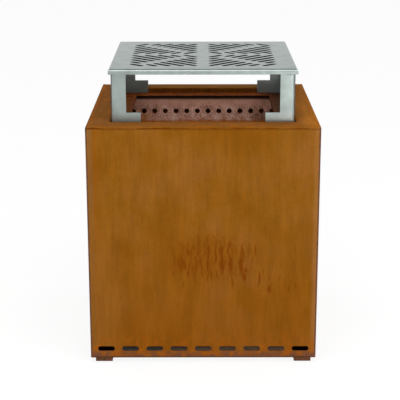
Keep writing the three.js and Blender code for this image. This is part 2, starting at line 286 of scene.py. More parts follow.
# Run marks on the front: x, top, bottom, width and strength; heights in mm over the panel's lower edge
RUN_MARKS = (
    (8, 216, 158, 4.6, 1.0), (13, 163, 148, 3.6, 0.9), (33, 194, 158, 7.5, 1.0), (31, 208, 194, 6.0, 0.6),
    (30, 221, 211, 3.0, 0.5), (38, 216, 206, 4.0, 0.5), (46, 216, 206, 5.5, 0.6), (47, 188, 158, 8.0, 0.85),
    (50, 162, 132, 4.2, 0.6), (56, 210, 194, 4.0, 0.5), (69, 210, 185, 4.2, 0.85), (67, 190, 158, 8.5, 1.1),
    (75, 168, 160, 6.0, 0.9), (72, 162, 142, 6.5, 0.75), (91, 210, 190, 3.6, 0.65),
    (97, 160, 138, 5.0, 1.0), (22, 192, 178, 3.6, 0.75), (20, 206, 192, 2.8, 0.5),
    (22, 168, 158, 2.6, 0.45), (-9, 240, 198, 3.0, 0.45), (-5, 218, 194, 3.0, 0.4),
    (-16, 212, 194, 3.0, 0.45), (-21, 194, 176, 3.4, 0.65), (-10, 194, 160, 2.8, 0.6),
    (-2, 188, 160, 3.2, 0.65), (-2, 160, 150, 4.2, 0.65), (-32, 180, 170, 3.8, 0.65),
    (-27, 170, 152, 5.0, 0.6), (-38, 176, 160, 3.2, 0.75), (-54, 164, 155, 4.2, 0.6),
    (-46, 180, 170, 3.2, 0.4), (-19, 176, 162, 4.2, 0.7), (-14, 162, 142, 3.2, 0.6),
    (-35, 144, 134, 5.0, 0.4), (106, 176, 146, 2.8, 0.35), (115, 160, 142, 6.0, 0.45),
    (116, 136, 124, 9.0, 0.65), (120, 141, 132, 4.0, 0.55), (135, 154, 146, 3.6, 0.35),
    (149, 136, 124, 4.4, 0.65), (162, 141, 130, 3.2, 0.65), (151, 160, 154, 4.0, 0.35),
)
# How far a mark fades as a share of its width and height, and the factor that fills its middle
MARK_REACH = (0.68, 0.85)
MARK_DEPTH = 2.1
# The field of fine streaks around the marks: its middle across and up, and its reach both ways
MARKED_FIELD = (14, 183, 104, 56)


def run_marks_over(add, colour, colours, local, seeded):
    """Lays run marks over a colour: spots that fade from their middles, the strongest of them at each point.

    They bend by up to 6 mm and are torn by streaks of 5 mm, and finer streaks fill the field around them.
    """
    wander = add("TexNoise", seeded, 50, 3, 0.6)
    shift = add("VectorMath", wander.outputs["Color"], (-0.5, -0.5, -0.5), operation="ADD")
    warp = add("VectorMath", shift, (12 * MM, 0, 12 * MM), local, operation="MULTIPLY_ADD")
    spots = [(x, (upper + lower) / 2, width * MARK_REACH[0], (upper - lower) * MARK_REACH[1])
             for x, upper, lower, width, _ in RUN_MARKS]
    fades = []
    for x, z, wide, high in (MARKED_FIELD, *spots):
        scale = (1 / (wide * MM), 0, 1 / (high * MM))
        spot = add("Mapping", warp, (-x / wide, 0, -z / high), None, scale)
        fades.append(add("TexGradient", spot, gradient_type="SPHERICAL").outputs["Fac"])
    around, *fades = fades
    marks = 0.0
    for fade, (*_, strength) in zip(fades, RUN_MARKS):
        mark = add("Math", fade, strength * MARK_DEPTH, **PRODUCT)
        marks = add("Math", marks, mark, operation="MAXIMUM")
    torn = add("TexNoise", add("Mapping", warp, None, None, (1, 1, 0.2)), 210, 3, 0.6)
    tear = add("MapRange", torn, 0.36, 0.6, 0.45, 1.2)
    marks = add("Math", marks, tear, **PRODUCT)
    streaks = add("MapRange", torn, 0.47, 0.6, 0.0, 0.85)
    field = add("MapRange", around, 0.05, 0.45)
    streaks = add("Math", streaks, field, **PRODUCT)
    marks = add("Math", marks, streaks, operation="MAXIMUM")
    stained = add("Math", around, 0.3, **PRODUCT)
    amount = add("MapRange", marks, 0.12, 1.0, 0.0, 0.9)
    for share, rust in ((stained, colours.patina_low), (amount, colours.run_mark)):
        colour = add("Mix", share, colour, rust, **COLOURS)
    return colour


def weathering_steel(name, colours, sizes, side, marked):
    """Weathering steel sheet rusted outdoors: a dull golden brown oxide, smeared downwards.

    Every panel sees itself as the front, and heights start at its lower edge. The oxide is redder near the
    ground and dull and orange beside the corner welds. A dark wavy line runs where the fold ends, and water
    leaves a dark line along the lower edge and reddish run marks. The sheet's inner side and its lip are
    sooted.
    """
    material, add, place, pit_x, pit_y, _ = new_finish(name)
    local = add("Mapping", place, (0, 0, -sizes.body_bottom), (0, 0, -side * QUARTER_TURN))
    x, y, z = add("SeparateXYZ", local).outputs
    # Every panel takes its own part of the patterns
    seeded = add("Mapping", local, (side * 1.7, 0, side * 0.9))
    top, half = sizes.body_top - sizes.body_bottom, sizes.body_width / 2

    # Clouds of 80 mm, redder towards the ground and paler low down at the left
    clouds = add("TexNoise", seeded, 12, 5, 0.6)
    colour = set_stops(add("ValToRGB", clouds), (
        (0.34, colours.patina_dark), (0.5, colours.patina), (0.66, colours.patina_light),
    ))
    low = add("MapRange", z, 280 * MM, 20 * MM, 0.0, 0.55)
    at_left = add("MapRange", x, -130 * MM, -180 * MM)
    low_left = add("MapRange", z, 270 * MM, 190 * MM, 0.0, 0.7)
    pale = add("Math", at_left, low_left, **PRODUCT)
    for share, rust in ((low, colours.patina_low), (pale, colours.patina_light)):
        colour = add("Mix", share, colour, rust, **COLOURS)

    # Smears 14 mm wide and 90 mm tall with finer ones in them, and a grain of 2 mm
    smears = add("TexNoise", add("Mapping", seeded, None, None, (1, 1, 0.15)), 72, 6, 0.75)
    smear_tone = add("MapRange", smears, 0.34, 0.66, 0.87, 1.13)
    grain = add("TexNoise", seeded, 420, 3, 0.7)
    grain_tone = add("MapRange", grain, 0.3, 0.7, 0.88, 1.12)
    for tones in (smear_tone, grain_tone):
        colour = add("Mix", 1.0, colour, tones, **TINTED)

    # Bands beside the corner welds, torn by tall patches of 30 mm: dull and orange at the left, where they
    # fade towards the ground, and light brown at the right. Stops: place across in mm, rust and share
    dull, dry, fresh = [tuple(rust)[:3] for rust in (colours.dull_rust, colours.dry_rust, colours.fresh_rust)]
    bands = set_stops(add("ValToRGB", add("MapRange", x, -half, half)), [
        ((across * MM + half) / (2 * half), (*rust, share)) for across, rust, share in (
            (-200, dull, 0.3), (-197, dry, 0.2), (-194, dull, 0.55), (-189, dull, 0.5), (-187, fresh, 0.4),
            (-184, fresh, 0.4), (-180, fresh, 0.0), (188, dry, 0.0), (192, dry, 0.4), (196, dry, 0.5),
            (199, dull, 0.7),
        )
    ])
    patches = add("TexNoise", add("Mapping", seeded, None, None, (1, 1, 0.3)), 34, 4, 0.6)
    worn = add("MapRange", patches, 0.34, 0.58, 0.25, 1.0)
    fading = add("MapRange", z, 120 * MM, 380 * MM, 0.15, 1.0)
    at_right = add("Math", x, 0.0, operation="GREATER_THAN")
    fading = add("Math", fading, at_right, operation="MAXIMUM")
    share = bands.outputs["Alpha"]
    for factor in (worn, fading):
        share = add("Math", share, factor, **PRODUCT)
    colour = add("Mix", share, colour, bands, **COLOURS)

    # Orange blots of 13 mm low down, a bruised strip under the slots, where rain splashes, and a wet edge
    blots = add("TexNoise", seeded, 75, 3, 0.55)
    blotted = add("MapRange", blots, 0.48, 0.62, 0.0, 0.65)
    splashed = add("MapRange", z, 50 * MM, 20 * MM)
    bruised = add("MapRange", blots, 0.6, 0.42, 0.15, 0.75)
    lowest = add("MapRange", z, 14 * MM, 7 * MM)
    blotted, bruised = [add("Math", *pair, **PRODUCT) for pair in ((blotted, splashed), (bruised, lowest))]
    wet = add("MapRange", z, 3.6 * MM, 2.0 * MM, 0.0, 0.8)
    for share, rust in ((blotted, colours.fresh_rust), (bruised, colours.bruise), (wet, colours.wet_edge_and_shade)):
        colour = add("Mix", share, colour, rust, **COLOURS)
    if marked:
        colour = run_marks_over(add, colour, colours, local, seeded)

    # Wavy lines: dark where the fold ends on the face, and orange where it starts on the rim
    waves = add("TexNoise", add("Mapping", seeded, None, None, (1, 0.1, 0.1)), 28, 4, 0.6)
    strong = add("MapRange", waves, 0.35, 0.6, 0.45, 0.95)
    lines = []
    for value, sway, middle, half_width, share in (
        (z, -5 * MM, top - 6.4 * MM, 1.5 * MM, 1.0), (y, -6 * MM, 2.5 * MM - half, 1.2 * MM, 0.6),
    ):
        line = add("Math", waves, sway, value, operation="MULTIPLY_ADD")
        line = add("Math", line, middle, half_width, operation="COMPARE")
        for factor in (strong, share):
            line = add("Math", line, factor, **PRODUCT)
        lines.append(line)
    colour = add("Mix", lines[0], colour, colours.dark_fold_line, **COLOURS)

    # The rim, brushed along its length, with orange spots
    on_rim = add("MapRange", z, top - 1.8 * MM, top - 0.3 * MM)
    rim = colours.rim_back if SIDES[side] == "back" else rim_tone(add, pit_x, pit_y, colours, sizes)
    brushed = add("TexNoise", add("Mapping", seeded, None, None, (0.12, 1, 1)), 130, 4, 0.7)
    brushed_tone = add("MapRange", brushed, 0.3, 0.7, 0.8, 1.2)
    spotted = add("MapRange", blots, 0.5, 0.68, 0.0, 0.6)
    for share in (spotted, lines[1]):
        rim = add("Mix", share, rim, colours.fresh_rust, **COLOURS)
    for tones in (brushed_tone, grain_tone):
        rim = add("Mix", 1.0, rim, tones, **TINTED)
    colour = add("Mix", on_rim, colour, rim, **COLOURS)

    # Bruised walls of the slots, and sooted inner side and lip
    soot_tone = add("MapRange", smears, 0.35, 0.65, 0.6, 1.4)
    darkened = add("Mix", 1.0, colours.sooted_rust_and_shade, soot_tone, **TINTED)
    for depth, height, rust in ((0.3 * MM, 30 * MM, colours.bruise), (2.8 * MM, top - 1.8 * MM, darkened)):
        inside = add("Math", y, depth - half, operation="GREATER_THAN")
        under = add("Math", z, height, operation="LESS_THAN")
        hidden = add("Math", inside, under, **PRODUCT)
        colour = add("Mix", hidden, colour, rust, **COLOURS)
    return matt_surface(material, add, colour, 0.9, 0.05, grain, 0.5)


def browned_ring(name, colours):
    """Weathering steel ring browned by the fire: mottled in 14 mm, with painted shade at its sides, and black
    on its edge and underside, partly from the fire and partly painted shade.
    """
    material, add, place, x, y, z = new_finish(name)
    mottle = add("TexNoise", place, 70, 5, 0.7)
    colour = set_stops(add("ValToRGB", mottle), ((0.36, colours.ring_dark), (0.6, colours.ring)))
    grain = add("TexNoise", place, 420, 3, 0.7)
    grain_tone = add("MapRange", grain, 0.3, 0.7, 0.8, 1.2)
    # Painted shade: darker at the left front, and at the right dull grey-brown rust turning black with
    # painted shade
    at_left = add("MapRange", x, -110 * MM, -140 * MM)
    in_front = add("MapRange", y, 150 * MM, 0.0, 0.0, 0.9)
    golden = add("Math", at_left, in_front, **PRODUCT)
    dull = add("MapRange", x, 110 * MM, 140 * MM, 0.0, 0.6)
    for share, rust in ((golden, colours.sooted_rust_and_shade), (dull, colours.wet_edge_and_shade), (dull, colours.soot_and_shade)):
        colour = add("Mix", share, colour, rust, **COLOURS)
    colour = add("Mix", 1.0, colour, grain_tone, **TINTED)
    # The edge and underside: black from the fire and from painted shade
    below = add("Math", z, top_of("chamber_top_ring") - 0.5 * MM, operation="LESS_THAN")
    colour = add("Mix", below, colour, colours.soot_and_shade, **COLOURS)
    return matt_surface(material, add, colour, 0.85, 0.1, grain, 0.5)


def ground_steel(name, colours, sizes):
    """Weathering steel ground flush and rusted anew: smoother than the sheet beside it, mottled in 9 mm."""
    material, add, place, x, y, z = new_finish(name)
    base = set_stops(add("ValToRGB", add("TexNoise", place, 110, 4, 0.7)), (
        (0.35, colours.wet_edge_and_shade), (0.5, colours.weld), (0.65, colours.bruise),
    ))
    on_top = add("MapRange", z, sizes.body_top - sizes.fold_radius, sizes.body_top - 0.5 * MM)
    colour = add("Mix", on_top, base, rim_tone(add, x, y, colours, sizes), **COLOURS)
    return matt_surface(material, add, colour, 0.85, 0.05)


def fired_steel(name, colours):
    """Mild steel dulled and pinked by fire: matt and smooth under the ring, blackened by fire and by a
    painted shadow right under it, freckled below.

    The freckles are 2 to 6 mm wide, in patches of 17 mm. It is rusty lower down, most of all towards the
    corners, darker at the right with painted shade. The outer side, which the fire doesn't touch, is browned.
    """
    material, add, place, x, y, z = new_finish(name)
    large = add("TexNoise", place, 60, 3, 0.6)
    small = add("TexNoise", place, 380, 3, 0.8)
    both = add("Mix", 0.65, large, small)
    colour = set_stops(add("ValToRGB", both), (
        (0.4, colours.fired_dark), (0.5, colours.fired), (0.6, colours.fired_light),
    ))
    ragged = add("Math", large, 12 * MM, z, operation="MULTIPLY_ADD")
    under_ring = top_of("chamber_front_wall")
    # The last band is black from the fire and from a painted shadow just under the ring
    smooth, low, rusty, darkened = [
        add("MapRange", height, under_ring - start * MM, under_ring - end * MM, 0.0, most)
        for height, start, end, most in (
            (z, 24, 14, 0.75), (ragged, 22, 34, 1.0), (ragged, 40.5, 45, 0.85), (z, 9.6, 5.4, 0.95),
        )
    ]
    across, along = [add("Math", value, operation="ABSOLUTE") for value in (x, y)]
    aside, reach = [add("Math", across, along, operation=which) for which in ("MINIMUM", "MAXIMUM")]
    at_corner = add("MapRange", aside, 90 * MM, 115 * MM, 0.0, 0.65)
    cornered = add("Math", at_corner, low, **PRODUCT)
    # The corner rust darkens towards the right: painted shade of the leg
    rightwards = add("MapRange", x, -50 * MM, 50 * MM)
    corner_rust_and_shade = add("Mix", rightwards, colours.fired_rust, colours.scale_rust_and_shade, **COLOURS)
    outer_face = width_of("chamber_front_wall") / 2
    outside = add("Math", reach, outer_face - 0.4 * MM, operation="GREATER_THAN")
    scale_tone = add("MapRange", both, 0.38, 0.62, 0.75, 1.25)
    scaled = add("Mix", 1.0, colours.chamber_back, scale_tone, **TINTED)
    for share, tone_there in (
        (smooth, colours.fired), (cornered, corner_rust_and_shade), (rusty, colours.fired_rust), (darkened, colours.soot_and_shade),
        (outside, scaled),
    ):
        colour = add("Mix", share, colour, tone_there, **COLOURS)
    return matt_surface(material, add, colour, 0.9, 0.15, small, 0.4)


def dusty_shaded_base(name, colours):
    """Weathering steel out of the rain, under pale ash and rust dust in 25 mm clouds; painted shade at left
    and in corners.
    """
    material, add, place, x, _, _ = new_finish(name)
    # Painted shade: grey at the left, turning to pale dust towards the right
    rightwards = add("MapRange", x, -150 * MM, 50 * MM)
    base = add("Mix", rightwards, colours.zinc_dark_and_shade, colours.ash_dust, **COLOURS)
    dust = add("TexNoise", place, 40, 4, 0.6)
    base = add("Mix", 1.0, base, add("MapRange", dust, 0.3, 0.7, 0.7, 1.2), **TINTED)
    # Painted shade: dark in the corners
    in_corner = add("MapRange", add("Math", x, operation="ABSOLUTE"), 145 * MM, 160 * MM)
    colour = add("Mix", in_corner, base, colours.soot_and_shade, **COLOURS)
    return matt_surface(material, add, colour, 0.9, 0.1)


def mill_scale_steel(name, colours):
    """Hot-rolled steel with its mill scale: dark blue-grey, half dull, with rust in patches of 17 mm."""
    material, add, place, *_ = new_finish(name)
    rust = add("TexNoise", place, 60, 5, 0.7)
    colour = set_stops(add("ValToRGB", rust), ((0.45, colours.scale), (0.68, colours.scale_rust_and_shade)))
    return matt_surface(material, add, colour, 0.6, 0.4)


def zinc_coated_steel(name, colours, sizes):
    """Hot-dip zinc-coated steel sheet, satin: cool grey, a faint cloudy spangle of 20 mm, slot walls dark as
    cut and with painted shade.

    The plate's front and back folds carry a painted reflection: dark where they start, a painted highlight
    along them. The toes have painted light, most of all at the right, and the legs' inner sides painted
    shade.
    """
    material, add, place, x, y, z = new_finish(name)
    across, along = [add("Math", value, operation="ABSOLUTE") for value in (x, y)]
    reach = add("Math", across, along, operation="MAXIMUM")
    middle = top_of("cooking_plate") - sizes.sheet / 2
    cloud = add("TexNoise", place, 50, 2, 0.5)
    base = set_stops(add("ValToRGB", cloud), ((0.3, colours.zinc_dark_and_shade), (0.7, colours.zinc_light)))
    on_top = add("MapRange", z, middle + 0.3 * sizes.sheet, middle + 0.45 * sizes.sheet, 1.0, 0.89)
    colour = add("Mix", 1.0, base, on_top, **TINTED)

    # Painted light on the toes, paler to the right, and painted shade on the legs' inner sides
    toe_bottom = bottom_of("stand_leg_front_left")
    low = add("MapRange", z, toe_bottom + 30 * MM, toe_bottom + 8 * MM)
    rightwards = add("MapRange", x, -100 * MM, 100 * MM, 0.35, 1.0)
    pale = add("Math", low, rightwards, **PRODUCT)
    inner_face = -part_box("stand_leg_front_left")[0].x - sizes.sheet
    inner = add("Math", reach, inner_face + 0.4 * MM, operation="LESS_THAN")
    # Painted shade on the legs' inner sides under the plate
    painted_shade = add("Math", z, middle - sizes.sheet, operation="LESS_THAN")
    for factor in (inner, 0.3):
        painted_shade = add("Math", painted_shade, factor, **PRODUCT)
    for share, tone_there in ((pale, colours.zinc_painted_light), (painted_shade, colours.zinc_cut_and_shade)):
        colour = add("Mix", share, colour, tone_there, **COLOURS)

    # Painted reflections along the folds, a dark line and a highlight: half of the factor that tints the
    # zinc, at distances in mm from the plate's face
    half = width_of("cooking_plate") / 2
    painted_reflection_lines = set_stops(add("ValToRGB", add("MapRange", along, half - 8 * MM, half)), [
        (1 - distance / 8, (grey, grey, grey, 1.0)) for distance, grey in (
            (8.0, 0.5), (6.5, 0.3), (5.0, 0.24), (1.6, 0.22), (1.1, 0.62), (0.3, 0.62), (0.0, 0.5),
        )
    ])
    over = add("Math", z, middle - 1.2 * sizes.sheet, operation="GREATER_THAN")
    painted_reflection = add("Mix", over, (0.5, 0.5, 0.5, 1.0), painted_reflection_lines, **COLOURS)
    for factor in (painted_reflection, (2.0, 2.0, 2.0, 1.0)):
        colour = add("Mix", 1.0, colour, factor, **TINTED)

    # Cut walls of the slots, which lie within 140 mm of the middle lines: dark as cut, and darker with
    # painted shade
    cut = add("Math", z, middle, sizes.sheet / 2 - 0.15 * MM, operation="COMPARE")
    for value in (x, y):
        inside = add("Math", value, 0.0, 140 * MM, operation="COMPARE")
        cut = add("Math", cut, inside, **PRODUCT)
    colour = add("Mix", cut, colour, colours.zinc_cut_and_shade, **COLOURS)
    shader = add("BsdfPrincipled", inputs={"Base Color": colour, "Metallic": 1.0, "Roughness": 0.36})
    add("OutputMaterial", shader)
    return material


# Outlines of flat patterns: arrays of points


def arc(x, y, radius, start, end, steps):
    """Points on an arc: its centre plus radius times the cosine and sine of evenly spaced angles."""
    angle = np.linspace(start, end, steps + 1)
    return np.column_stack((x + radius * np.cos(angle), y + radius * np.sin(angle)))


def round_hole(x, y, diameter, steps=32):
    """A circle as a closed loop."""
    return arc(x, y, diameter / 2, 0, 2 * math.pi, steps)[:-1]


def slot_loop(start, end, width, steps=12):
    """A slot with round ends as a closed loop: a half circle about each of its two end centres."""
    along = math.atan2(end[1] - start[1], end[0] - start[0])
    return np.vstack((
        arc(*end, width / 2, along - QUARTER_TURN, along + QUARTER_TURN, steps),
        arc(*start, width / 2, along + QUARTER_TURN, along + 3 * QUARTER_TURN, steps),
    ))


def square_loop(width, radius, steps=6):
    """A square with round corners as a closed loop: a quarter circle in each corner."""
    reach = width / 2 - radius
    corners = ((reach, reach), (-reach, reach), (-reach, -reach), (reach, -reach))
    return np.vstack([
        arc(x, y, radius, turn * QUARTER_TURN, (turn + 1) * QUARTER_TURN, steps)
        for turn, (x, y) in enumerate(corners)
    ])


def row(count, pitch):
    """Evenly spaced places centred on zero."""
    return (np.arange(count) - (count - 1) / 2) * pitch


def fold(path, thickness, radius, steps=10):
    """Section of a sheet folded left at each inner point of a path that is its outer side.

    Each fold is a quarter circle about the point that lies one radius inside both of its sides; the inner
    side is one thickness to the left. Gives the outer side's running length, its points and the inner points.
    """
    path = np.array(path, float)
    ways = np.diff(path, axis=0)
    ways /= np.linalg.norm(ways, axis=1)[:, None]
    left = np.column_stack((-ways[:, 1], ways[:, 0]))
    outer, inner = [path[:1]], [path[:1] + thickness * left[:1]]
    for i in range(1, len(path) - 1):
        centre = path[i] + radius * (left[i - 1] + left[i])
        start = math.atan2(-left[i - 1][1], -left[i - 1][0])
        outer.append(arc(*centre, radius, start, start + QUARTER_TURN, steps))
        inner.append(arc(*centre, radius - thickness, start, start + QUARTER_TURN, steps))
    outer = np.vstack((*outer, path[-1:]))
    inner = np.vstack((*inner, path[-1:] + thickness * left[-1:]))
    run = np.concatenate(([0], np.cumsum(np.linalg.norm(np.diff(outer, axis=0), axis=1))))
    return run, outer, inner


def read_section(section, run):
    """Outer and inner points of a folded section at given running lengths, straight between its points."""
    table, outer, inner = section
    return [np.column_stack([np.interp(run, table, side[:, axis]) for axis in (0, 1)])
            for side in (outer, inner)]


# Sheets


def surrounded(points, loops):
    """Whether an odd number of loops surrounds each point: counts the edges that a ray towards +x crosses."""
    start = np.vstack(loops)
    end = np.vstack([np.roll(loop, -1, axis=0) for loop in loops])
    x, y = points[:, :1], points[:, 1:]
    with np.errstate(divide="ignore", invalid="ignore"):
        crossing_x = (end[:, 0] - start[:, 0]) * (y - start[:, 1]) / (end[:, 1] - start[:, 1]) + start[:, 0]
    crossed = ((start[:, 1] > y) != (end[:, 1] > y)) & (x < crossing_x)
    return crossed.sum(axis=1) % 2 == 1


def cut_sheet(loops, lines=()):
    """Flat pattern of a cut sheet: points and triangles.

    Delaunay triangles of the loops and fold lines, kept where an odd number of loops surrounds their middle.
    """
    chains = [*loops, *lines]
    starts = np.cumsum([0] + [len(chain) for chain in chains])
    edges = []
    for number, chain in enumerate(chains):
        places = starts[number] + np.arange(len(chain))
        closed = np.column_stack((places, np.roll(places, -1)))
        edges.append(closed if number < len(loops) else closed[:-1])
    whole_hull, merge_distance = 0, 1e-8
    points, _, triangles, *_ = delaunay_2d_cdt(
        np.vstack(chains).tolist(), np.vstack(edges).tolist(), [], whole_hull, merge_distance)
    points, triangles = np.array(points), np.array(triangles)
    triangles = triangles[surrounded(points[triangles].mean(axis=1), loops)]
    used, triangles = np.unique(triangles, return_inverse=True)
    return points[used], triangles.reshape(-1, 3)


def thicken(outer, inner, triangles):
    """Solid between two sides with the same triangles: the inner ones turned over, walls on open edges."""
    count = len(outer)
    sides = np.vstack((triangles[:, (0, 1)], triangles[:, (1, 2)], triangles[:, (2, 0)]))
    shared = np.isin(sides[:, 0] * count + sides[:, 1], sides[:, 1] * count + sides[:, 0])
    rim = sides[~shared]
    walls = np.column_stack((rim[:, 1], rim[:, 0], rim[:, 0] + count, rim[:, 1] + count))
    faces = triangles.tolist() + (triangles[:, ::-1] + count).tolist() + walls.tolist()
    return np.vstack((outer, inner)), faces


def turned(solid, turns):
    """A solid turned by quarter turns about the upright axis."""
    points, faces = solid
    cosine, sine = round(math.cos(turns * QUARTER_TURN)), round(math.sin(turns * QUARTER_TURN))
    return points @ np.array(((cosine, sine, 0), (-sine, cosine, 0), (0, 0, 1)), float), faces


def together(solids):
    """Several meshes as one: their points in a row, and their faces counted on."""
    starts = np.cumsum([0] + [len(points) for points, _ in solids])
    faces = [[start + i for i in face] for start, (_, part) in zip(starts, solids) for face in part]
    return np.vstack([points for points, _ in solids]), faces


def put_in_scene(name, points, faces, material):
    """A mesh object of the given points and faces, in one material."""
    mesh = bpy.data.meshes.new(name)
    mesh.from_pydata(points, [], faces)
    mesh.materials.append(material)
    thing = bpy.data.objects.new(name, mesh)
    bpy.context.scene.collection.objects.link(thing)
    return thing


def add_piece(name, solid, body, slot, material, replaced=(), edge=0.0):
    """Puts a closed mesh into the scene with its faces outwards, its cut edges rounded, riding on a body."""
    points, faces = solid
    piece = put_in_scene(name, points.tolist(), faces, material)
    shell = bmesh.new()
    shell.from_mesh(piece.data)
    bmesh.ops.recalc_face_normals(shell, faces=shell.faces)
    shell.to_mesh(piece.data)
    shell.free()
    piece.data.shade_smooth()
    piece.data.set_sharp_from_angle(angle=SHARP_ANGLE)
    if edge:
        rounding = piece.modifiers.new("cut edges", "BEVEL")
        rounding.width = edge
        rounding.segments = 2
        rounding.limit_method = "ANGLE"
        rounding.angle_limit = SHARP_ANGLE
        rounding.harden_normals = True
    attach(piece, body)
    if replaced:
        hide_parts(*replaced)


def flat_sheet(loops, top, thickness):
    """A level sheet: its flat pattern at two heights."""
    flat, triangles = cut_sheet(loops)
    level = np.full(len(flat), top)
    return thicken(np.column_stack((flat, level)), np.column_stack((flat, level - thickness)), triangles)


def tube(rings):
    """Closed solid through rings of equally many points: quads from ring to ring, and a face at each end."""
    place = np.arange(rings.shape[0] * rings.shape[1]).reshape(rings.shape[:2])
    ahead = np.roll(place, -1, axis=1)
    quads = np.stack((place[:-1], ahead[:-1], ahead[1:], place[1:]), axis=-1).reshape(-1, 4)
    return rings.reshape(-1, 3), quads.tolist() + [place[0, ::-1].tolist(), place[-1].tolist()]


def bead(path, across, out, width, height, sink, ripple, pitch, steps=12):
    """Weld bead: an ellipse carried along a path.

    It is half a width to each side, its height out and its sink in. The outer half swells by ripple times the
    absolute sine of the way along, which lags behind at the bead's sides, so that its ripples are crescents.
    """
    stations_per_ripple, lag_share, side_swell = 4, 0.6, 0.3
    across, out = [np.broadcast_to(way, np.shape(path)) for way in (across, out)]
    run = np.concatenate(([0], np.cumsum(np.linalg.norm(np.diff(path, axis=0), axis=1))))
    stations = np.linspace(0, run[-1], max(3, int(run[-1] / pitch * stations_per_ripple)))
    centre, sideways, outwards = [
        np.column_stack([np.interp(stations, run, values[:, axis]) for axis in range(3)])
        for values in (np.array(path), across, out)
    ]
    angle = np.linspace(0, 2 * math.pi, steps, endpoint=False)
    lag = stations[:, None] + lag_share * pitch * np.abs(np.cos(angle))
    swell = 1 + ripple * np.abs(np.sin(math.pi * lag / pitch))
    rise = np.where(np.sin(angle) > 0, height * np.sin(angle) * swell, sink * np.sin(angle))
    spread = np.cos(angle) * width / 2 * (1 + side_swell * (swell - 1))
    aside, proud = spread[..., None] * sideways[:, None], rise[..., None] * outwards[:, None]
    return tube(centre[:, None] + aside + proud)


# Pieces of the body


def panel_section(sizes):
    """Section of a body panel from the lip's end over the rim to its lower edge: depth and height."""
    height = sizes.body_top - sizes.body_bottom
    path = [(sizes.rim_width, height - sizes.lip_depth), (sizes.rim_width, height), (0, height), (0, 0)]
    return fold(path, sizes.sheet, sizes.fold_radius)


def slot_row(count, level, width, sizes):
    """A level row of air slots as closed loops."""
    reach = (sizes.slot_length - width) / 2
    return [slot_loop((x - reach, level), (x + reach, level), width) for x in row(count, sizes.slot_pitch)]


def panel_solid(sizes):
    """The front panel: its flat pattern, x across and the section's running length along, folded about x.

    It ends at the mitres, where x is half the body's width less the depth, and at its face where the ground
    corner weld begins.
    """
    half = sizes.body_width / 2
    section = panel_section(sizes)
    run, outer, _ = section

    def reach(depth):
        return np.minimum(half - depth, half - sizes.corner_radius)

    ends = reach(outer[:, 0])
    outline = np.vstack((np.column_stack((-ends, run)), np.column_stack((ends, run))[::-1]))
    slots = slot_row(AIR_SLOTS, run[-1] - sizes.slot_height, sizes.slot_width, sizes)
    folds = [np.array(((-end, along), (end, along))) for end, along in zip(ends[1:-1], run[1:-1])]
    flat, triangles = cut_sheet([outline, *slots], folds)
    x, along = flat.T
    outer_side, inner_side = read_section(section, along)
    rounding_error = 0.01 * MM
    at_end = np.abs(x) > reach(outer_side[:, 0]) - rounding_error
    inner_x = np.where(at_end, np.sign(x) * reach(inner_side[:, 0]), x)
    sides = [np.column_stack((across, side[:, 0] - half, side[:, 1] + sizes.body_bottom))
             for across, side in ((x, outer_side), (inner_x, inner_side))]
    return thicken(*sides, triangles)


def corner_weld_solid(sizes):
    """Corner weld: a ground quarter round up the corner and over the fold, and a low bead on the rim's mitre.

    The quarter round is a fan about the panels' ends, whose radius is the corner radius less the depth; the
    bead follows the points where both depths are the same.
    """
    half, radius = sizes.body_width / 2, sizes.corner_radius
    _, outer, _ = panel_section(sizes)
    depth, height = outer[::-1, 0], outer[::-1, 1] + sizes.body_bottom
    low = depth < radius
    fan = np.vstack((arc(0, 0, 1, math.pi, 3 * QUARTER_TURN, 8), (0, 0)))
    rings = np.concatenate((
        radius - half + np.maximum(radius - depth[low], 0)[:, None, None] * fan,
        np.broadcast_to(height[low][:, None, None], (low.sum(), len(fan), 1)),
    ), axis=2)

    inwards = depth > 0.5 * radius
    depth, height = depth[inwards], height[inwards]
    path = np.column_stack((depth - half, depth - half, height))
    ways = np.gradient(path, axis=0)
    ways /= np.linalg.norm(ways, axis=1)[:, None]
    across = (DIAGONAL, -DIAGONAL, 0)
    out = np.cross(across, ways)
    out *= np.sign(out[0, 2] - out[0, 0])
    return together((tube(rings), bead(path, across, out, *MITRE_BEAD, sizes.ripple_pitch)))


# Pieces of the burn chamber


def rectangle(half, low, high):
    """A rectangle as a closed loop: half its width to each side, and from low to high."""
    return np.array(((-half, low), (half, low), (half, high), (-half, high)))


def wall_solid(sizes, side):
    """A chamber wall: an upright sheet with a row of air holes near its top and draught slots low down."""
    low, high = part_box(f"chamber_{side}_wall")
    width = (high.x - low.x) if side in ("front", "back") else (high.y - low.y)
    half_depth = width_of("chamber_front_wall") / 2
    pitch = (2 * half_depth - 2 * sizes.hole_margin) / (AIR_HOLES - 1)
    hole_level = top_of("chamber_top_ring") - sizes.hole_drop
    holes = [round_hole(x, hole_level, sizes.hole_diameter) for x in row(AIR_HOLES, pitch)]
    slots = slot_row(DRAUGHT_SLOTS, sizes.body_bottom + sizes.slot_height, sizes.draught_width, sizes)
    flat, triangles = cut_sheet([rectangle(width / 2, low.z, high.z), *holes, *slots])
    sides = [np.column_stack((flat[:, 0], np.full(len(flat), y), flat[:, 1]))
             for y in (-half_depth, -half_depth + sizes.sheet)]
    return thicken(*sides, triangles)


def ring_solid(sizes):
    """The chamber's top ring: a level square sheet with a square opening."""
    loops = [square_loop(width, RING_CORNER, 3) for width in (width_of("chamber_top_ring"), RING_OPENING)]
    return flat_sheet(loops, top_of("chamber_top_ring"), sizes.sheet)


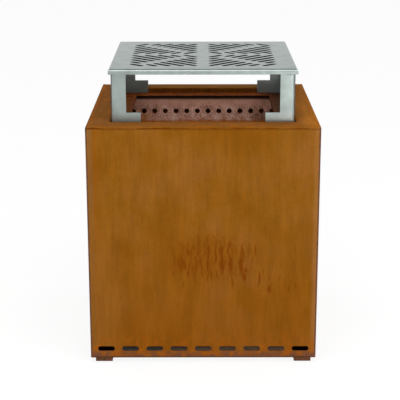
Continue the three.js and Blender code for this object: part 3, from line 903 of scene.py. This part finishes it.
def bracket_solid(sizes):
    """The front grate bracket: a sheet folded once, its upright leg on the wall, its level leg inwards."""
    low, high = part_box("grate_bracket_front")
    section = fold([(high.y - low.y, 0), (0, 0), (0, low.z - high.z)], sizes.sheet, sizes.fold_radius)
    run = section[0]
    half = (high.x - low.x) / 2
    folds = [np.array(((-half, along), (half, along))) for along in run[1:-1]]
    flat, triangles = cut_sheet([rectangle(half, 0, run[-1])], folds)
    sides = [np.column_stack((flat[:, 0], side[:, 0] + low.y, side[:, 1] + high.z))
             for side in read_section(section, flat[:, 1])]
    return thicken(*sides, triangles)


def chamber_weld_solid(sizes):
    """Fillet weld up an inner corner of the chamber: a rippled bead that faces the fire.

    It starts 2 mm over the walls' foot and ends 1 mm under the ring.
    """
    low, high = bottom_of("chamber_front_wall") + 2 * MM, top_of("chamber_front_wall") - 1 * MM
    inner = width_of("chamber_front_wall") / 2 - sizes.sheet
    path = ((-inner, -inner, low), (-inner, -inner, high))
    return bead(path, (DIAGONAL, -DIAGONAL, 0), (DIAGONAL, DIAGONAL, 0), sizes.bead_width,
                1.5 * sizes.bead_height, *FILLET, sizes.ripple_pitch)


# Loose inner pieces


def grate_solid():
    """The fire grate: a level plate with two rows of slots."""
    low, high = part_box("fire_grate")
    width = high.x - low.x
    field = width - 2 * GRATE_BEARING - GRATE_BAR
    reach = (field - GRATE_BAR) / 4 - GRATE_SLOT / 2
    centre = (field + GRATE_BAR) / 4
    count = int((field - GRATE_SLOT) / GRATE_PITCH) + 1
    slots = [slot_loop((x, y - reach), (x, y + reach), GRATE_SLOT)
             for x in row(count, GRATE_PITCH) for y in (-centre, centre)]
    return flat_sheet([square_loop(width, GRATE_CORNER), *slots], high.z, high.z - low.z)


def pan_solid(sizes):
    """The ash pan: a folded section carried round a square with round corners.

    Where the section has a depth, the square is smaller by it on every side and its corner radius is the
    pan's less the depth.
    """
    low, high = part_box("ash_pan")
    half, least_radius = (high.x - low.x) / 2, 0.05 * MM
    _, outer, inner = fold([(0, high.z - low.z), (0, 0), (half / 2, 0)], sizes.pan_sheet, PAN_CORNER)
    rings = []
    for depth, height in (*outer[::-1], *inner):
        loop = square_loop(2 * (half - depth), max(PAN_CORNER - depth, least_radius))
        rings.append(np.column_stack((loop, np.full(len(loop), low.z + height))))
    return tube(np.array(rings))


# Pieces of the cooking stand


def cooking_slots(sizes):
    """Slots of the cooking plate: four mirrored fields along the lines |x| + |y| = constant.

    A plain band along each field's diagonal divides every slot that is long enough to leave two.
    """
    half = width_of("cooking_plate") / 2
    width, pitch = sizes.cook_slot_width, sizes.cook_slot_pitch
    far = half - COOK_EDGE_MARGIN - width / 2
    inset_x, inset_y = [margin + width / 2 for margin in COOK_MIDDLE_MARGINS]
    band = (sizes.cook_band + width) / (2 * math.sqrt(2))
    middle = (inset_x + inset_y) / 2 + far
    count = int((2 * far - inset_x - inset_y - width) / (2 * pitch))
    slots = []
    for total in middle + pitch * np.arange(-count, count + 1):
        low, high = max(inset_x, total - far), min(far, total - inset_y)
        centre = (low + high) / 2
        divided = high - low > 2 * (band + width)
        for start, end in (((low, centre - band), (centre + band, high)) if divided else ((low, high),)):
            for sign_x, sign_y in ((-1, -1), (1, -1), (1, 1), (-1, 1)):
                slots.append(slot_loop((sign_x * start, sign_y * (total - start)),
                                       (sign_x * end, sign_y * (total - end)), width))
    return slots


def plate_solid(sizes):
    """The cooking plate: a slotted square whose edges are folded down and closed at the corners.

    On the flat pattern the larger of |x| and |y| is the running length of the section from the middle; every
    point moves along its own ray until that larger value is half the width less the section's depth.
    """
    low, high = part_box("cooking_plate")
    half = (high.x - low.x) / 2
    section = fold([(half, 0), (0, 0), (0, low.z - high.z)], sizes.sheet, sizes.plate_radius, 8)
    run = section[0]
    square = np.array(((-1, -1), (1, -1), (1, 1), (-1, 1)), float)
    rings = [np.vstack((square, square[:1])) * along for along in run[1:-1]]
    mitres = [np.vstack((corner * run[1], corner * run[-1])) for corner in square]
    flat, triangles = cut_sheet([square * run[-1], *cooking_slots(sizes)], [*rings, *mitres])
    along = np.abs(flat).max(axis=1)
    sides = []
    for side in read_section(section, along):
        scale = (half - side[:, 0]) / np.maximum(along, MM)
        sides.append(np.column_stack((flat * scale[:, None], side[:, 1] + high.z)))
    return thicken(*sides, triangles)


def leg_solid(sizes):
    """A leg: a flat pattern with two toes and round corners over them, folded once along its height."""
    low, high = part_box("stand_leg_front_left")
    height = high.z - low.z
    toe, wide, tall = sizes.toe_length, sizes.leg_width, sizes.toe_height
    section = fold([(0, toe), (0, 0), (toe, 0)], sizes.sheet, sizes.leg_radius)
    run = section[0]
    end = run[-1]
    outline = np.vstack((
        (0, 0), (end, 0), (end, tall),
        arc(end - wide + TOE_FILLET, tall + TOE_FILLET, TOE_FILLET, 3 * QUARTER_TURN, 2 * QUARTER_TURN, 6),
        (end - wide, height), (wide, height),
        arc(wide - TOE_FILLET, tall + TOE_FILLET, TOE_FILLET, 0, -QUARTER_TURN, 6),
        (0, tall),
    ))
    folds = [np.array(((along, 0), (along, height))) for along in run[1:-1]]
    flat, triangles = cut_sheet([outline], folds)
    sides = [np.column_stack((side[:, 0] + low.x, side[:, 1] + low.y, flat[:, 1] + low.z))
             for side in read_section(section, flat[:, 0])]
    return thicken(*sides, triangles)


def stand_weld_solid(sizes):
    """Fillet welds between a leg's top and the plate's underside, one along each side of the leg."""
    low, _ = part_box("stand_leg_front_left")
    inner = low.x + sizes.sheet
    level = top_of("cooking_plate") - sizes.sheet
    inset = 2 * MM
    near, far = inner + inset, low.x + sizes.leg_width - inset
    beads = []
    for path, out in (
        (((near, inner, level), (far, inner, level)), (0, DIAGONAL, -DIAGONAL)),
        (((inner, near, level), (inner, far, level)), (DIAGONAL, 0, -DIAGONAL)),
    ):
        way = np.subtract(path[1], path[0])
        across = np.cross(way / np.linalg.norm(way), out)
        beads.append(bead(path, across, out, sizes.bead_width, sizes.bead_height, *FILLET,
                          sizes.ripple_pitch))
    return together(beads)


# Operators


class FIREPIT_OT_body(bpy.types.Operator):
    """Builds the body: four panels, their corner welds, the base plate and the feet"""

    bl_idname = "firepit.body"
    bl_label = "Body"

    def execute(self, context):
        sizes, colours = context.scene.fire_pit_sizes, context.scene.fire_pit_colours
        rusted = "body", "weathering_steel"
        ground = ground_steel("weathering steel, ground and rusted", colours, sizes)
        dusty_shaded = dusty_shaded_base("weathering steel under dust", colours)
        panel, weld = panel_solid(sizes), corner_weld_solid(sizes)
        for turn, side in enumerate(SIDES):
            name = f"weathering steel, rusted outdoors, {side}"
            finish = weathering_steel(name, colours, sizes, turn, side == "front")
            add_piece(f"{side}_panel_sheet", turned(panel, turn), *rusted, finish, [f"{side}_panel"],
                      sizes.cut_edge)
        for turn, corner in enumerate(CORNERS):
            add_piece(f"corner_weld_{corner}", turned(weld, turn), *rusted, ground)
        low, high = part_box("base_plate")
        reach = sizes.body_width / 2 - DRAIN_INSET
        drains = [round_hole(x, y, DRAIN_HOLE) for x in (-reach, reach) for y in (-reach, reach)]
        base = flat_sheet([square_loop(high.x - low.x, BASE_CORNER, 3), *drains], high.z, high.z - low.z)
        add_piece("base_sheet", base, *rusted, dusty_shaded, ["base_plate"], sizes.cut_edge)
        for corner in CORNERS:
            low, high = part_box(f"foot_{corner}")
            middle = np.array((high.x + low.x, high.y + low.y)) / 2
            pad = flat_sheet([square_loop(high.x - low.x, FOOT_CORNER) + middle], high.z, high.z - low.z)
            add_piece(f"foot_pad_{corner}", pad, *rusted, ground, [f"foot_{corner}"], FOOT_EDGE)
        return {"FINISHED"}


class FIREPIT_OT_chamber(bpy.types.Operator):
    """Builds the burn chamber: its walls, corner welds, top ring and grate brackets"""

    bl_idname = "firepit.chamber"
    bl_label = "Burn chamber"

    def execute(self, context):
        sizes, colours = context.scene.fire_pit_sizes, context.scene.fire_pit_colours
        fired = "burn_chamber", "fired_steel", fired_steel("mild steel, dulled by fire", colours)
        ring = browned_ring("weathering steel, browned by fire", colours)
        angle, weld = bracket_solid(sizes), chamber_weld_solid(sizes)
        for turn, side in enumerate(SIDES):
            wall = turned(wall_solid(sizes, side), turn)
            add_piece(f"chamber_{side}_sheet", wall, *fired, [f"chamber_{side}_wall"], sizes.cut_edge)
            add_piece(f"grate_angle_{side}", turned(angle, turn), *fired, [f"grate_bracket_{side}"],
                      sizes.cut_edge)
        for turn, corner in enumerate(CORNERS):
            add_piece(f"chamber_weld_{corner}", turned(weld, turn), *fired)
        add_piece("top_ring_sheet", ring_solid(sizes), "burn_chamber", "weathering_steel", ring,
                  ["chamber_top_ring"], sizes.cut_edge)
        return {"FINISHED"}


class FIREPIT_OT_loose(bpy.types.Operator):
    """Builds the loose inner pieces: the fire grate and the ash pan"""

    bl_idname = "firepit.loose"
    bl_label = "Grate and ash pan"

    def execute(self, context):
        sizes, colours = context.scene.fire_pit_sizes, context.scene.fire_pit_colours
        finish = "scaled_steel", mill_scale_steel("hot-rolled steel with mill scale", colours)
        add_piece("fire_grate_plate", grate_solid(), "fire_grate", *finish, ["fire_grate"], GRATE_EDGE)
        add_piece("ash_pan_tray", pan_solid(sizes), "ash_pan", *finish, ["ash_pan"], sizes.cut_edge)
        return {"FINISHED"}


class FIREPIT_OT_stand(bpy.types.Operator):
    """Builds the cooking stand: the slotted plate, four legs and their welds"""

    bl_idname = "firepit.stand"
    bl_label = "Cooking stand"

    def execute(self, context):
        sizes, colours = context.scene.fire_pit_sizes, context.scene.fire_pit_colours
        zinc = "cooking_stand", "zinc_steel", zinc_coated_steel("hot-dip zinc-coated steel", colours, sizes)
        add_piece("cooking_plate_sheet", plate_solid(sizes), *zinc, ["cooking_plate"], sizes.cut_edge)
        leg, weld = leg_solid(sizes), stand_weld_solid(sizes)
        for turn, corner in enumerate(CORNERS):
            add_piece(f"leg_{corner}", turned(leg, turn), *zinc, [f"stand_leg_{corner}"], sizes.cut_edge)
            add_piece(f"stand_weld_{corner}", turned(weld, turn), *zinc)
        return {"FINISHED"}


WHITE = (1, 1, 1, 1)
# Lamps: name, place, target, width and height in metres, and power in watts
SOFTBOXES = (
    ("front_softbox", (0.3, -3.2, 1.4), (0, 0.15, 0.38), 9.0, 1.0, 65.0),
    ("low_softbox", (0.9, -2.7, 0.25), (0.1, -0.2, 0.45), 0.5, 0.3, 6.0),
    ("right_softbox", (2.2, -1.5, 0.9), (0, 0, 0.3), 0.8, 1.6, 5.0),
    ("left_softbox", (-2.4, -1.4, 1.2), (0, 0, 0.3), 1.0, 1.4, 2.0),
    ("top_softbox", (0.2, -1.3, 2.5), (0, 0, 0.4), 2.2, 1.0, 14.0),
)
# The camera that was fitted to the photo: its place in metres, its height being over the body's lower edge,
# and how far it is panned, tilted down from the level and rolled, in degrees
CAMERA_PLACE = (-0.0048, -2.2244, 0.8633)
CAMERA_TURNS = ((0.017, "Z"), (90 - 15.775, "X"), (-0.072, "Z"))


def white_for_camera(add, share):
    """Share of plain white that camera, glossy and transmission rays see."""
    rays = add("LightPath").outputs
    seen = add("Math", rays["Is Camera Ray"], rays["Is Glossy Ray"], operation="MAXIMUM")
    seen = add("Math", seen, rays["Is Transmission Ray"], operation="MAXIMUM")
    return add("Math", seen, share, **PRODUCT)


class FIREPIT_OT_stage(bpy.types.Operator):
    """Builds the studio: floor, white surroundings, lamps and camera"""

    bl_idname = "firepit.stage"
    bl_label = "Studio"

    def execute(self, context):
        scene, studio = context.scene, context.scene.fire_pit_studio
        scene.world = bpy.data.worlds.new("studio")
        scene.world.use_nodes = True
        scene.world.node_tree.nodes.clear()
        add = partial(add_node, scene.world.node_tree)
        strength = add("MapRange", white_for_camera(add, 1.0), None, None, studio.sky, 1.0)
        add("OutputWorld", add("Background", WHITE, strength))

        white, add = new_material("matt white studio floor")
        matt = add("BsdfDiffuse", (0.9, 0.9, 0.9, 1))
        add("OutputMaterial", add("MixShader", white_for_camera(add, studio.floor_white), matt,
                                  add("Emission", WHITE, 1.1)))
        # The floor lies just under the feet, so that they don't share a plane
        reach, low = studio.floor_reach, -0.3 * MM
        corners = [(-reach, -reach, low), (reach, -reach, low), (reach, reach, low), (-reach, reach, low)]
        put_in_scene("floor", corners, [(0, 1, 2, 3)], white)

        for name, place, target, width, height, power in SOFTBOXES:
            light = bpy.data.lights.new(name, "AREA")
            light.shape = "RECTANGLE"
            light.size, light.size_y = width, height
            light.energy = power
            lamp = bpy.data.objects.new(name, light)
            lamp.location = place
            lamp.rotation_euler = (Vector(target) - Vector(place)).to_track_quat("-Z", "Y").to_euler()
            lamp.visible_glossy = name != "front_softbox"
            scene.collection.objects.link(lamp)

        # Black cards that only the metal's reflections see: how far back they start and end, and their tops
        near, far, top = -0.1, 1.2, 0.7
        black, add = new_material("black card")
        add("OutputMaterial", add("BsdfDiffuse", (0.02, 0.02, 0.02, 1)))
        for name, x in (("left_card", -0.9), ("right_card", 0.9)):
            corners = [(x, near, 0), (x, far, 0), (x, far, top), (x, near, top)]
            card = put_in_scene(name, corners, [(0, 1, 2, 3)], black)
            card.visible_camera = card.visible_diffuse = card.visible_shadow = False

        camera = bpy.data.objects.new("camera", bpy.data.cameras.new("camera"))
        camera.data.sensor_width = 36
        camera.data.lens = studio.lens
        pan, tilt, roll = [Matrix.Rotation(math.radians(turn), 4, axis) for turn, axis in CAMERA_TURNS]
        place = Vector(CAMERA_PLACE) + Vector((0, 0, scene.fire_pit_sizes.body_bottom))
        camera.matrix_world = Matrix.Translation(place) @ (pan @ tilt @ roll)
        scene.collection.objects.link(camera)
        scene.camera = camera
        scene.view_settings.view_transform = "Standard"
        return {"FINISHED"}


class FIREPIT_PT_sidebar(bpy.types.Panel):
    """Lists the pieces and their settings"""

    bl_idname = "FIREPIT_PT_sidebar"
    bl_label = "Fire Pit"
    bl_space_type = "VIEW_3D"
    bl_region_type = "UI"
    bl_category = "Fire Pit"

    def draw(self, context):
        for operator in OPERATORS:
            self.layout.operator(operator.bl_idname)
        for title in ("Sizes", "Colours", "Studio"):
            group = getattr(context.scene, "fire_pit_" + title.lower())
            box = self.layout.box()
            box.label(text=title)
            for key in group.__annotations__:
                box.prop(group, key)


OPERATORS = (FIREPIT_OT_body, FIREPIT_OT_chamber, FIREPIT_OT_loose, FIREPIT_OT_stand, FIREPIT_OT_stage)
CLASSES = (FirePitSizes, FirePitColours, FirePitStudio, *OPERATORS, FIREPIT_PT_sidebar)


def register():
    """Registers the classes and keeps the settings on the scene."""
    for item in CLASSES:
        bpy.utils.register_class(item)
    bpy.types.Scene.fire_pit_sizes = PointerProperty(type=FirePitSizes)
    bpy.types.Scene.fire_pit_colours = PointerProperty(type=FirePitColours)
    bpy.types.Scene.fire_pit_studio = PointerProperty(type=FirePitStudio)


def unregister():
    """Takes back what register has done."""
    del bpy.types.Scene.fire_pit_studio
    del bpy.types.Scene.fire_pit_colours
    del bpy.types.Scene.fire_pit_sizes
    for item in reversed(CLASSES):
        bpy.utils.unregister_class(item)


def main():
    """Registers the add-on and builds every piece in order."""
    register()
    bpy.ops.firepit.body()
    bpy.ops.firepit.chamber()
    bpy.ops.firepit.loose()
    bpy.ops.firepit.stand()
    bpy.ops.firepit.stage()


if __name__ == "__main__":
    main()
